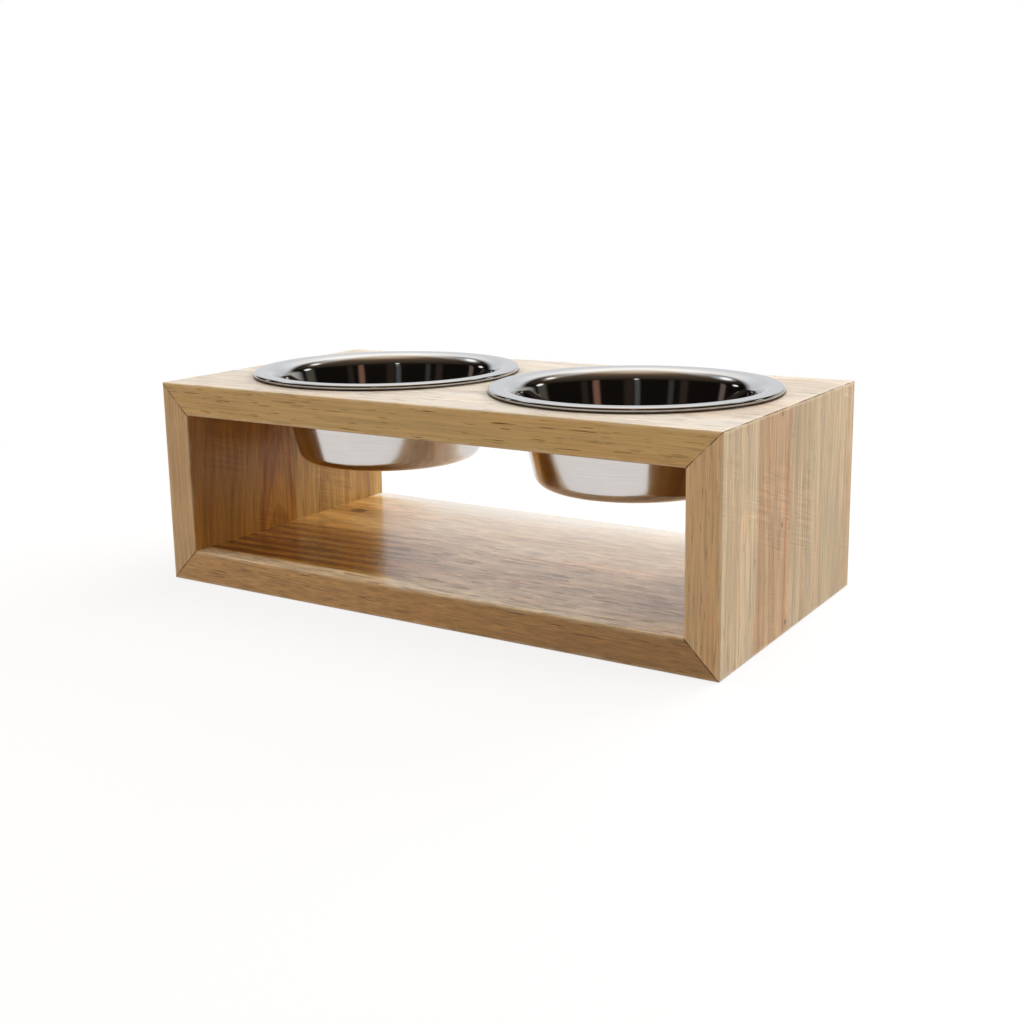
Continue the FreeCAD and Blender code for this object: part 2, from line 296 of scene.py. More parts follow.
# %% The room by height, and its white sweep
# Ramps hold colours up to 1, so the whole room is scaled up after they are mixed. Heights run from the
# floor's level, 0, to straight up, 1.
BRIGHTEST = 1.7
ROOM_BY_HEIGHT = [
    (0.00, (0.004, 0.003, 0.003)),
    (0.22, (0.005, 0.004, 0.003)),
    (0.29, (0.022, 0.016, 0.011)),
    (0.39, (0.036, 0.026, 0.018)),
    (0.50, (0.052, 0.036, 0.024)),
    (0.61, (0.080, 0.053, 0.034)),
    (0.72, (0.140, 0.095, 0.060)),
    (0.83, (0.350, 0.265, 0.180)),
    (1.00, (0.560, 0.470, 0.370)),
]
SWEEP_BY_HEIGHT = [
    (0.00, (0.46, 0.465, 0.475)),
    (0.14, (0.48, 0.485, 0.495)),
    (0.23, (0.53, 0.535, 0.540)),
    (0.39, (0.71, 0.71, 0.71)),
    (0.50, (0.78, 0.76, 0.72)),
    (0.62, (0.98, 0.96, 0.92)),
    (0.72, (1.00, 0.97, 0.92)),
    (0.83, (0.81, 0.73, 0.63)),
    (1.00, (0.56, 0.47, 0.37)),
]
SWEEP_BEARING = -30.0
# Degrees where the sweep fades out and where it is whole, to each side of its bearing and upward.
SWEEP_SIDES = (46.0, 28.0)
CEILING_SIDES, CEILING_RISE, CEILING_SHARE = (105.0, 40.0), (36.0, 74.0), 0.8

upward = elevation / 90.0
room = Wire.node(sky, "ShaderNodeValToRGB", {"stops": ROOM_BY_HEIGHT}, {"Fac": upward})
white_sweep = Wire.node(sky, "ShaderNodeValToRGB", {"stops": SWEEP_BY_HEIGHT}, {"Fac": upward})
off_sweep = turned_from(SWEEP_BEARING)
ceiling = smooth(off_sweep, *CEILING_SIDES) * smooth(elevation, *CEILING_RISE)
room = blend(ceiling * CEILING_SHARE, room, white_sweep)
room = blend(smooth(off_sweep, *SWEEP_SIDES), room, white_sweep)
print("room stops:", len(ROOM_BY_HEIGHT), "sweep stops:", len(SWEEP_BY_HEIGHT))

# %% Cards, lamps and flags that the steel picks up
# Each is a soft oval: bearing, half width, rise, half height and colour.
LAMP_WHITE, CARD_GREY = rgb(1.0, 1.0, 0.95), rgb(0.34, 0.35, 0.36)
FLAG_BROWN = rgb(0.150, 0.078, 0.052)
CARDS = [
    (12.0, 26.0, 6.0, 12.0, rgb(0.32, 0.305, 0.28)),
    (46.0, 9.0, 10.0, 16.0, rgb(0.060, 0.055, 0.042)),
    (38.0, 14.0, 46.0, 14.0, rgb(0.32, 0.260, 0.19)),
    (36.0, 10.0, 44.0, 5.0, LAMP_WHITE),
    (41.0, 7.0, 18.5, 6.0, LAMP_WHITE),
    (272.0, 22.0, 42.0, 14.0, CARD_GREY),
    (273.0, 12.0, 40.0, 7.0, LAMP_WHITE),
    (269.0, 6.0, 14.5, 4.5, LAMP_WHITE),
    (154.0, 3.0, 24.0, 4.5, LAMP_WHITE),
    (99.0, 5.0, 15.0, 12.0, rgb(0.018, 0.014, 0.010)),
    (112.0, 5.0, 15.0, 12.0, FLAG_BROWN),
    (146.0, 7.0, 17.0, 10.0, rgb(0.020, 0.014, 0.010)),
    (155.0, 4.0, 17.0, 8.0, rgb(0.055, 0.057, 0.057)),
    (190.0, 4.0, 16.0, 10.0, rgb(0.030, 0.030, 0.028)),
    (204.0, 6.0, 15.0, 10.0, rgb(0.024, 0.016, 0.013)),
    (250.0, 5.0, 10.0, 12.0, rgb(0.100, 0.074, 0.063)),
]
for bearing, half_width, rise, half_height, colour in CARDS:
    off = (turned_from(bearing) / half_width) ** 2.0 + (abs(elevation - rise) / half_height) ** 2.0
    room = blend(smooth(off, 1.0, 0.0), room, colour)
room = scaled(room, BRIGHTEST)
print("cards:", len(CARDS))

# %% What the camera, the gloss and the soft light see of it
WHITE = rgb(1.0, 1.0, 1.0)
SOFT_ROOM = rgb(0.13, 0.10, 0.07)


def rays(tree):
    """1 where a ray comes from the camera, from a gloss, or through glass, each on its own."""
    return [Wire.node(tree, "ShaderNodeLightPath", output=name)
            for name in ("Is Camera Ray", "Is Glossy Ray", "Is Transmission Ray")]


from_camera, from_gloss, through_glass = rays(sky)
seen = blend(from_gloss + through_glass, SOFT_ROOM, room)
seen = blend(from_camera, seen, WHITE)
background = Wire.node(sky, "ShaderNodeBackground", None, {"Color": seen, "Strength": 1.0})
Wire.node(sky, "ShaderNodeOutputWorld", None, {"Surface": background})
print("world nodes:", len(sky.nodes))

# %% Lamps
FEEDER_MIDDLE = Vector((0.0, 0.0, 0.07))
DAYLIGHT, WARM_LIGHT = (1.0, 1.0, 1.0), (1.0, 0.90, 0.72)
# Each lamp's place, size, watts and colour.
LAMPS = {
    "overhead_lamp": ((0.35, 0.40, 1.60), 1.4, 15.5, DAYLIGHT),
    "left_lamp": ((-1.19, -0.43, 1.14), 0.5, 9.0, DAYLIGHT),
    "back_lamp": ((0.45, 1.60, 0.70), 1.4, 42.0, DAYLIGHT),
    "right_lamp": ((1.60, 0.35, 0.70), 0.9, 10.5, DAYLIGHT),
    "front_lamp": ((-0.05, -1.75, 0.45), 0.9, 8.0, WARM_LIGHT),
}


def soft_lamp(name, place, size, watts, colour):
    """A square cloth lamp. It is left out of mirrors, where the drawn room stands for it."""
    light = bpy.data.lights.new(name, "AREA")
    light.shape = "SQUARE"
    light.size = size
    light.energy = watts
    light.color = colour
    lamp = bpy.data.objects.new(name, light)
    lamp.location = place
    lamp.rotation_euler = (FEEDER_MIDDLE - Vector(place)).to_track_quat("-Z", "Y").to_euler()
    lamp.visible_glossy = False
    bpy.context.scene.collection.objects.link(lamp)


for name, lamp in LAMPS.items():
    soft_lamp(name, *lamp)

# %% Floor
FLOOR_REACH = 6.0
FLOOR_DROP = 0.0003
floor_mesh = bpy.data.meshes.new("floor")
corners = [(sx * FLOOR_REACH, sy * FLOOR_REACH, -FLOOR_DROP)
           for sx, sy in ((-1, -1), (1, -1), (1, 1), (-1, 1))]
floor_mesh.from_pydata(corners, [], [(0, 1, 2, 3)])
floor = bpy.data.objects.new("floor", floor_mesh)
bpy.context.scene.collection.objects.link(floor)
print("floor reaches", FLOOR_REACH, "m each way")

# %% Paper on the floor
# The paper glows white to whoever looks, and lets a share of its real shading through near the feeder.
SHADOW_SHARE = 0.18
SHADOW_REACH = (0.75, 0.30)
PAPER_WHITE, PAPER_BOUNCE = rgb(0.92, 0.91, 0.90), rgb(0.40, 0.345, 0.28)
paper = new_finish("white_paper")
sheet = paper.node_tree
from_camera, from_gloss, through_glass = rays(sheet)
paper_tone = blend(from_camera, PAPER_BOUNCE, PAPER_WHITE)
shaded = Wire.node(sheet, "ShaderNodeBsdfDiffuse", None, {"Color": paper_tone})
glow = Wire.node(sheet, "ShaderNodeEmission", None, {"Color": WHITE, "Strength": 1.0})
from_middle = length(Wire.node(sheet, "ShaderNodeTexCoord", output="Object"))
whitened = 1.0 - SHADOW_SHARE * smooth(from_middle, *SHADOW_REACH)
looked_at = from_camera + from_gloss + through_glass
show(Wire.node(sheet, "ShaderNodeMixShader", None, {0: looked_at * whitened, 1: shaded, 2: glow}))
floor_mesh.materials.append(paper)
print("paper nodes:", len(sheet.nodes))

# %% [markdown]
# ## Pine
#
# The frame is planed pine, one board above and one below, and two staves glued edge to edge at each
# side. An image of wood would stretch over the edges, so the wood is grown in three dimensions: rings
# about a pith that lies outside the board, bent by slow noise, with fibre, resin streaks and a redder
# heartwood on top. Each board gets its own pith and its own numbers, and every face and hole then cuts
# through the same rings.

# %% A place on the feeder, in millimetres
TO_MM = 1000.0
HALF_LENGTH = solid_box[1].x * TO_MM
HALF_DEPTH = solid_box[1].y * TO_MM
STAND_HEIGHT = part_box("top_board")[1].z * TO_MM
BOARD_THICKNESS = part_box("bottom_board")[1].z * TO_MM


def millimetres(tree):
    return split(scaled(Wire.node(tree, "ShaderNodeTexCoord", output="Object"), TO_MM))


def clouds(place, pitch, detail, roughness=0.5, seed=0.0):
    """Noise over a place: pitch is how many clouds there are to a millimetre, each of the three ways."""
    first, second, third = (part * count for part, count in zip(place, pitch))
    return noise(vector(first + seed if seed else first, second, third), detail, roughness)


print("frame, mm:", 2 * HALF_LENGTH, 2 * HALF_DEPTH, STAND_HEIGHT, "boards", BOARD_THICKNESS)

# %% Growth rings
# A place in a board is how far it lies along the grain, across the board and deep in it.
BEND_PITCH, SIDE_BEND, DEEP_BEND = (0.0045, 0.016, 0.016), 7.0, 4.0
SPACING_PITCH, SPACING_CHANGE = (0.04, 0.003), 1.8
BAND_PITCH = (0.0045, 0.075)
# From 0 to 1 across a ring, late wood darkens slowly and ends at once. No ring is fainter than this.
LATE_RISE, LATE_END, FAINTEST_RING = (0.10, 0.85), (1.0, 0.90), 0.25


def growth(place, board):
    """Late wood of the rings about a pith, from 0 to 1, and slow bands that follow the rings.

    A trunk is a cone, so taper moves the rings outward along the grain. Where a face lies close to the
    pith, that draws the arches of flat-sawn boards.
    """
    along, across, deep = place
    seed = board.seed
    side = across - board.pith[0] + clouds(place, BEND_PITCH, 3.0, seed=seed) * SIDE_BEND
    under = deep - board.pith[1] + clouds(place, BEND_PITCH, 1.0, seed=seed) * DEEP_BEND
    radius = (side * side + under * under) ** 0.5 + along * board.taper
    spacing = noise(vector(radius * SPACING_PITCH[0], along * SPACING_PITCH[1], seed), 3.0)
    age = radius / board.ring + spacing * SPACING_CHANGE
    within = age.math("FRACT", age)
    strength = Wire.node(age.tree, "ShaderNodeTexWhiteNoise", {"noise_dimensions": "1D"},
                         {"W": age.math("FLOOR", age) + seed})
    strength = FAINTEST_RING + (1.0 - FAINTEST_RING) * strength
    late = smooth(within, *LATE_RISE) * smooth(within, *LATE_END) * strength
    bands = noise(vector(along * BAND_PITCH[0] + seed, radius * BAND_PITCH[1], seed), 5.0, 0.70)
    return late, bands


print("rings take bends of", SIDE_BEND, "and", DEEP_BEND, "mm")

# %% Fibre, pores, resin and sanding marks
# Fibre lies in the growth layers, so its streaks are flat: wider across a board than through it.
COARSE_PITCH, FINE_PITCH, FINE_SHORTER = (0.16, 0.34), (0.55, 1.00), 2.2
# Strokes along the grain: how long, wide and deep each is.
PORE_SIZE, RESIN_SIZE, RIPPLE_SIZE = (13.0, 1.3, 1.1), (26.0, 1.2, 1.0), (24.0, 3.4, 5.0)
PORE_LIMIT, STROKE_FADE = 0.52, 0.12
CROWD_PITCH, CROWD_SHARE = (0.011, 0.09, 0.09), 0.14
MISSED_PITCH, MISSED_LIMIT = 0.016, (0.05, 0.45)
SCRATCH_PITCH, SCRATCH_SLANT, SCRATCH_DRAWN = 0.70, 0.22, 0.03


def fibres(place, board):
    """Streaks a few millimetres wide that are as long as the board's fibre, and shorter, hair-fine ones."""
    coarse = clouds(place, (1.0 / board.fibre, *COARSE_PITCH), 2.0, 0.6, board.seed)
    fine = clouds(place, (FINE_SHORTER / board.fibre, *FINE_PITCH), 3.0, 0.65, board.seed)
    return coarse, fine


def strokes(place, seed, size, limit):
    """Short pointed strokes along the grain, in crowds: the peaks of a noise that is stretched to size."""
    crowd = clouds(place, CROWD_PITCH, 1.0, seed=seed)
    peaks = clouds(place, [1.0 / side for side in size], 1.0, seed=seed)
    return smooth(peaks + crowd * CROWD_SHARE, limit, limit + STROKE_FADE)


def sanding(place, seed):
    """Faint slanting scratches, in patches that the last grit missed."""
    along, across, deep = place
    patch = noise(vector(along * MISSED_PITCH, across * MISSED_PITCH + seed, deep * MISSED_PITCH), 2.0)
    slanted = along * SCRATCH_PITCH + across * SCRATCH_SLANT + seed
    scratches = noise(vector(slanted, across * SCRATCH_DRAWN, deep * SCRATCH_DRAWN), 2.0)
    return scratches * smooth(patch, *MISSED_LIMIT)


print("strokes, mm:", {"pores": PORE_SIZE, "resin": RESIN_SIZE, "ripple": RIPPLE_SIZE})

# %% [markdown]
# ## Glue lines, worn edges, painted highlights and painted shade
#
# What makes the frame look used lies where its boards meet and end: dark hairlines in the mitres, and
# pale rounded edges, partly worn and partly a painted highlight. Painted shade lies there too: a dark ring
# for the shadow under each bowl's rim, and an amber tint for the shade inside the frame. All of it could be
# painted by hand on each board. It is worked out from the frame's own sizes instead, so the marks run
# on from one board to the next and move with the sizes.

# %% Inside and outside of the frame
INNER_FADE = (BOARD_THICKNESS - 0.9, BOARD_THICKNESS - 0.1)


def frame_depths(x, z):
    """How far a point lies in from the ends of the frame, and in from its top or underside."""
    return HALF_LENGTH - abs(x), STAND_HEIGHT / 2 - abs(z - STAND_HEIGHT / 2)


def inside_frame(x, z):
    """1 on the inner faces of the frame, and 0 on the others."""
    from_end, from_face = frame_depths(x, z)
    return smooth(from_end.math("MINIMUM", from_end, from_face), *INNER_FADE)


print("inner faces lie", BOARD_THICKNESS, "mm in")

# %% Lines where the boards meet
SEAM_PITCH = (0.16, 0.06, 0.16)
SEAM_HALF, SEAM_UNEVEN, SEAM_OPEN, SEAM_CORE = 0.50, 0.45, 0.45, 0.04
SEAM_GAPS, SEAM_OPEN_REACH, SEAM_OPEN_FILL = (-0.75, -0.10), 6.0, 0.5
GLUE_HALF, GLUE_GAPS, GLUE_WANDER, GLUE_SHARE = (0.42, 0.05), (-0.25, 0.20), 0.5, 0.6


def seam_lines(spot, glue_y, on_inner):
    """Dark, uneven hairlines along the mitres, wider at the inner corner, and along a side's glue line.

    Inside the frame the mitre is only a corner, so the line is left out there.
    """
    x, y, z = spot
    from_end, from_face = frame_depths(x, z)
    off_mitre = abs(from_end - from_face) * math.sqrt(0.5)
    uneven = clouds(spot, SEAM_PITCH, 3.0)
    opening = smooth(from_end, BOARD_THICKNESS - SEAM_OPEN_REACH, BOARD_THICKNESS)
    half_width = SEAM_HALF + SEAM_UNEVEN * uneven + SEAM_OPEN * opening
    unbroken = smooth(uneven + SEAM_OPEN_FILL * opening, *SEAM_GAPS)
    line = smooth(off_mitre, half_width, SEAM_CORE) * unbroken * (1.0 - on_inner)
    if glue_y is not None:
        off_glue = abs(y - glue_y + uneven * GLUE_WANDER)
        glue = smooth(off_glue, *GLUE_HALF) * smooth(uneven, *GLUE_GAPS) * GLUE_SHARE
        line = line.math("MAXIMUM", line, glue)
    return line


print("seams are about", 2 * SEAM_HALF, "mm wide")

# %% Worn and highlighted edges, and painted shadow rings under the bowls
# The rounded edges are paled partly for wear and partly as a painted highlight along them.
ARRIS_PITCH, ARRIS_RAGGED, ARRIS_REACH = (0.06, 0.06, 0.06), 1.6, (2.4, 0.8)
# A painted shadow ring under each bowl's rim.
RIM_SHADOW_PITCH, RIM_SHADOW_RAGGED, RIM_SHADOW_HALF, RIM_SHADOW_INSET = (0.10, 0.10, 0.10), 0.5, (2.4, 1.0), 1.2
RIM_SHADOW_SKIN = (STAND_HEIGHT - 0.8, STAND_HEIGHT - 0.2)
left_low, left_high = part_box("left_bowl")
BOWL_X = -(left_low.x + left_high.x) / 2 * TO_MM
BOWL_Y = (left_low.y + left_high.y) / 2 * TO_MM
RIM_SHADOW_RADIUS = (left_high.x - left_low.x) / 2 * TO_MM - RIM_SHADOW_INSET


def edge_wear(spot, deep, middle):
    """1 on the rounded edges of a board, fading over a couple of millimetres; they are paled for wear and a
    painted highlight.
    """
    x, y, z = spot
    from_end, from_face = frame_depths(x, z)
    edge = HALF_DEPTH - abs(y) + (BOARD_THICKNESS / 2 - abs(deep - middle))
    nearest = edge.math("MINIMUM", edge, from_end + from_face)
    return smooth(nearest + clouds(spot, ARRIS_PITCH, 3.0) * ARRIS_RAGGED, *ARRIS_REACH)


def painted_rim_shadow(spot):
    """A dark ring painted on the top round each hole: the shadow under a bowl's rim."""
    x, y, z = spot
    radius = length(vector(abs(x) - BOWL_X, y - BOWL_Y, 0.0))
    ragged = clouds(spot, RIM_SHADOW_PITCH, 3.0) * RIM_SHADOW_RAGGED
    return smooth(abs(radius + ragged - RIM_SHADOW_RADIUS), *RIM_SHADOW_HALF) * smooth(z, *RIM_SHADOW_SKIN)


# Where the painted shadow ring under each rim lies.
print("flange marks, mm:", round(BOWL_X, 2), round(BOWL_Y, 2), "radius", round(RIM_SHADOW_RADIUS, 2))

# %% Painted shade inside the frame
SHADE_SLANT = 0.8
PATCH_PITCH, PATCH_SHARE = (0.012, 0.020), 0.25
SHADE_EDGE_FADE = 4.0


def painted_inner_shade(spot, board):
    """Share of the amber tint on the frame's inner faces, which paints the shade inside the frame.

    The board's span is where along the frame the painted shade starts and where it is whole, on a slant,
    measured halfway between front and rear. Where the board gives a shade edge, the painted shade fades
    out toward the front and rear edges.
    """
    x, y, z = spot
    patchy = noise(vector(x * PATCH_PITCH[0], y * PATCH_PITCH[1], z * PATCH_PITCH[1] + board.seed), 3.0)
    whole = smooth(x + y * SHADE_SLANT, *board.pool) if board.pool else 1.0
    coat = whole + patchy * PATCH_SHARE
    if board.shade_edge:
        coat = coat * smooth(HALF_DEPTH - abs(y), board.shade_edge - SHADE_EDGE_FADE, board.shade_edge)
    return coat


# The painted shade inside runs on this slant.
print("lacquer slants", SHADE_SLANT, "mm along for each mm of depth")

# %% [markdown]
# ## One board's own numbers
#
# No two boards of a frame come from the same tree, and each has its own place in the light. One finish
# could be copied and retouched for each board. Here one class holds what a board may have of its own,
# with the values of a plain board, and a single recipe then reads them.

# %% Colours of the wood
# Each wood has two colours, of its early and its late growth.
# CREAM, the top board's wood, is partly pale sapwood and partly a painted sheen: paler and greyer than the
# wood, for the white sweep that the top face mirrors.
CREAM = rgb(0.665, 0.600, 0.515), rgb(0.520, 0.420, 0.310)
PALE = rgb(0.880, 0.700, 0.470), rgb(0.660, 0.480, 0.280)
HONEY = rgb(0.580, 0.450, 0.285), rgb(0.430, 0.295, 0.160)
GOLDEN = rgb(0.560, 0.390, 0.210), rgb(0.350, 0.215, 0.095)
TAN = rgb(0.530, 0.405, 0.245), rgb(0.360, 0.240, 0.125)
HEART = rgb(0.510, 0.325, 0.160), rgb(0.300, 0.155, 0.060)
RED_HEART = rgb(0.870, 0.660, 0.475), rgb(0.560, 0.345, 0.215)
PORE_BROWN, RESIN_BROWN = rgb(0.200, 0.095, 0.035), rgb(0.120, 0.050, 0.016)
# SEAM_AND_SHADOW_BROWN darkens the seams, and also paints the shadow ring under each bowl's rim.
SEAM_AND_SHADOW_BROWN, KNOT_BROWN = rgb(0.050, 0.024, 0.010), rgb(0.090, 0.030, 0.012)
STAIN_RED = rgb(0.330, 0.135, 0.048)
ROSY, OLIVE = rgb(1.04, 0.97, 0.92), rgb(0.97, 1.00, 0.97)
# The ambers tint the inner faces as painted shade; DEEP_AMBER paints the darker front corner of the bottom
# board.
AMBER, PALE_AMBER = rgb(0.85, 0.57, 0.19), rgb(0.86, 0.68, 0.36)
DEEP_AMBER, GOLD_AMBER = rgb(0.50, 0.30, 0.045), rgb(0.84, 0.62, 0.26)
# SHEEN_WHITE is a painted sheen: the white sweep mirrored at the rear of the bottom board.
WORN_AND_LIT, SHEEN_WHITE = rgb(0.840, 0.690, 0.500), rgb(0.900, 0.870, 0.820)
REAR_EDGE = rgb(0.62, 0.54, 0.44)
print("woods:", {"cream": CREAM[0][:3], "honey": HONEY[0][:3], "tan": TAN[0][:3], "heart": HEART[0][:3]})


# %% What a board may have of its own
class Board:
    """A board's wood and lacquer. Lengths are in millimetres, and what isn't given stays as it is here.

    Every board gives its grain, X or Z; its pith, across and deep; the width of a ring; its wood's colours;
    a seed, which is the part of the noise that it is cut from; the middle of its thickness; and the tint of
    its front edge.
    """

    taper = 0.03        # how fast the trunk narrows
    rings = 0.6         # strength of the rings
    fleck = 0.30        # strength of hair-fine fibre
    streak = 0.22       # strength of coarse fibre
    fibre = 125.0       # length of the fibre
    resin = 0.80        # limit for dark strokes: lower gives more
    ripple = None       # limit for raised grain, which lies under a thicker varnish
    relief = 1.0        # height of the grain
    heart = None        # redder wood: from and to across the board, its share at the front and at the rear
    heartwood = HEART   # colours of that wood
    stains = ()         # red streaks: across, lean, half width and share
    stains_end = None   # where along the grain they have faded
    knots = ()          # along, across and size
    glue_y = None       # where the two staves of a side meet
    sheen = 0.40        # roughness of the lacquer
    pool = None         # where the painted shade inside starts and is whole, along the frame, if not everywhere
    shade_edge = 0.0     # how far in from front and rear the painted shade fades out
    amber = AMBER       # colour of the amber tint that paints the shade inside
    rear_amber = None   # its colour at the rear, where that differs; the deeper front colour paints the corner's shade
    marks = 0.0         # darkness of the painted shadow ring under each bowl's rim
    dusk = 0.0          # how far the edges darken to the right
    painted_rear_sheen = 0.0        # how far a painted sheen of the white backdrop pales the rear

    def __init__(self, **own):
        vars(self).update(own)


print("a plain board has a sheen of", Board.sheen, "and fibre of", Board.fibre, "mm")

# %% The parts of a board's look
RESIN_SEED, RIPPLE_SEED = 5.0, 9.0
MOTTLE_PITCH, BLUSH_PITCH, BRUSH_PITCH = (0.012, 0.090, 0.090), (0.006, 0.045, 0.045), 0.03
EDGE_FACING, SIDE_FACING = (0.55, 0.95), (0.5, 0.9)
RIPPLE_ALONG, RIPPLE_FRONT = (-130.0, -40.0), (60.0, -20.0)


def pine_parts(tree, board):
    """What lies in the wood and on it, as masks and levels that the colour and the lacquer share."""
    x, y, z = spot = millimetres(tree)
    place = (x, y, z) if board.grain == "X" else (z, y, x)
    seed = board.seed
    facing = split(Wire.node(tree, "ShaderNodeTexCoord", output="Normal"))
    on_edge = smooth(abs(facing[1]), *EDGE_FACING)
    inside = inside_frame(x, z)
    on_inner = inside * (1.0 - on_edge)
    parts = SimpleNamespace(spot=spot, place=place, on_edge=on_edge, on_inner=on_inner)
    parts.late, parts.bands = growth(place, board)
    parts.coarse, parts.fine = fibres(place, board)
    parts.mottle = clouds(place, MOTTLE_PITCH, 4.0, 0.65, seed)
    parts.blush = clouds(place, BLUSH_PITCH, 2.0, seed=seed)
    parts.scratch = sanding(place, seed) * smooth(abs(facing[0]), *SIDE_FACING)
    parts.pores = strokes(place, seed, PORE_SIZE, PORE_LIMIT)
    parts.resin = strokes(place, seed + RESIN_SEED, RESIN_SIZE, board.resin)
    if board.ripple is not None:
        raised = smooth(x, *RIPPLE_ALONG) * smooth(y, *RIPPLE_FRONT) * on_inner
        parts.ripple = strokes(place, seed + RIPPLE_SEED, RIPPLE_SIZE, board.ripple) * raised
    # Painted shade inside the frame, as an amber tint.
    parts.coat = inside * painted_inner_shade(spot, board)
    parts.seam = seam_lines(spot, board.glue_y, on_inner)
    parts.wear = edge_wear(spot, place[2], board.middle)
    parts.brushed = noise(vector(x * BRUSH_PITCH, y * BRUSH_PITCH, z * BRUSH_PITCH + seed), 3.0)
    return parts


# The parts include an amber painted shade inside the frame.
print("parts ready: wood, strokes, coat, seams and wear")

# %% Heartwood, stains and knots
HEART_WAVE, HEART_FADE = 6.0, 3.0
STAIN_WANDER, STAIN_CORE, STAIN_FADE = 3.0, 0.2, 100.0
KNOT_DRAWN, KNOT_RAGGED = 0.7, 0.5
HALO_SIZE, HALO_SHARE, CORE_SIZE, CORE_SHARE = (4.0, 1.1), 0.35, (1.1, 0.6), 0.9


def heart_share(parts, heart):
    """Share of redder wood, between two wavy lines across a board."""
    low, high, front, rear = heart
    across = parts.place[1]
    wavy = across + parts.bands * HEART_WAVE
    share = smooth(wavy, low - HEART_FADE, low + HEART_FADE)
    share = share * smooth(wavy, high + HEART_FADE, high - HEART_FADE)
    return share * (front + (rear - front) * smooth(across, low, high))


def with_stains(colour, parts, board):
    """Red streaks that lean across the grain and wander a little."""
    along, across, _ = parts.place
    for start, lean, half_width, share in board.stains:
        off = abs(across - start - along * lean + parts.blush * STAIN_WANDER + parts.coarse)
        line = smooth(off, half_width, half_width * STAIN_CORE)
        if board.stains_end is not None:
            line = line * smooth(along, board.stains_end, board.stains_end - STAIN_FADE)
        colour = blend(line * share, colour, STAIN_RED)
    return colour


def with_knots(colour, parts, board):
    """Dark knots, each in a halo of heartwood."""
    along, across, _ = parts.place
    for knot_along, knot_across, size in board.knots:
        off = ((along - knot_along) * KNOT_DRAWN) ** 2.0 + (across - knot_across) ** 2.0
        off = off ** 0.5 + parts.coarse * size * KNOT_RAGGED
        halo = smooth(off, *(size * edge for edge in HALO_SIZE)) * HALO_SHARE
        core = smooth(off, *(size * edge for edge in CORE_SIZE)) * CORE_SHARE
        colour = blend(core, blend(halo, colour, HEART[1]), KNOT_BROWN)
    return colour


print("heartwood, stains and knots ready")

# %% Colour of the bare wood
EDGE_CALM = 0.55
BLUSH_EDGES, BLUSH_MIDDLE = (-0.5, 0.5), 0.5
DARK_START, BAND_SHARE, COARSE_SHARE = 0.14, 0.80, 0.25
MOTTLE_SHARE, SCRATCH_SHARE = 0.20, 0.30
RIPPLE_SHARE, PORE_SHARE, RESIN_SHARE = 0.60, 0.35, 0.88


def wood_colour(parts, board):
    """Sapwood and heartwood by growth, then stains, blush, fibre, strokes and knots over them."""
    calm = 1.0 - EDGE_CALM * parts.on_edge
    rings = parts.late * board.rings + parts.bands * BAND_SHARE + parts.coarse * COARSE_SHARE
    dark = DARK_START + rings * calm
    colour = blend(dark, *board.wood)
    if board.heart:
        colour = blend(heart_share(parts, board.heart), colour, blend(dark, *board.heartwood))
    colour = with_stains(colour, parts, board)
    blush = blend(parts.blush + BLUSH_MIDDLE, OLIVE, ROSY)
    colour = tint(smooth(parts.blush, *BLUSH_EDGES), colour, blush)
    uneven = calm * (board.streak * parts.coarse + MOTTLE_SHARE * parts.mottle)
    colour = scaled(colour, 1.0 + board.fleck * parts.fine + uneven + SCRATCH_SHARE * parts.scratch)
    if board.ripple is not None:
        colour = blend(parts.ripple * RIPPLE_SHARE, colour, HEART[1])
    colour = blend(parts.pores * PORE_SHARE, colour, PORE_BROWN)
    colour = blend(parts.resin * RESIN_SHARE, colour, RESIN_BROWN)
    return with_knots(colour, parts, board)


print("strokes darken the wood by", RIPPLE_SHARE, PORE_SHARE, RESIN_SHARE)

# %% Painted sheen and shade, and what lacquer and use did to it
# Pairs are where each change starts and is whole, in millimetres along or from front to rear.
# How far forward the painted sheen at the rear reaches, and its shares.
FAR_SHEEN, NEAR_REAR_SHEEN = (-60.0, HALF_DEPTH), (50.0, HALF_DEPTH - 5.0)
FAR_SHEEN_SHARE, NEAR_REAR_SHEEN_SHARE = 0.45, 0.55
EDGE_TO_REAR, AMBER_TO_REAR, DUSK_TO_RIGHT = (-40.0, 40.0), (-50.0, 40.0), (-100.0, 190.0)
WEAR_AND_HIGHLIGHT_SHARE, SEAM_SHARE = 0.30, 0.90


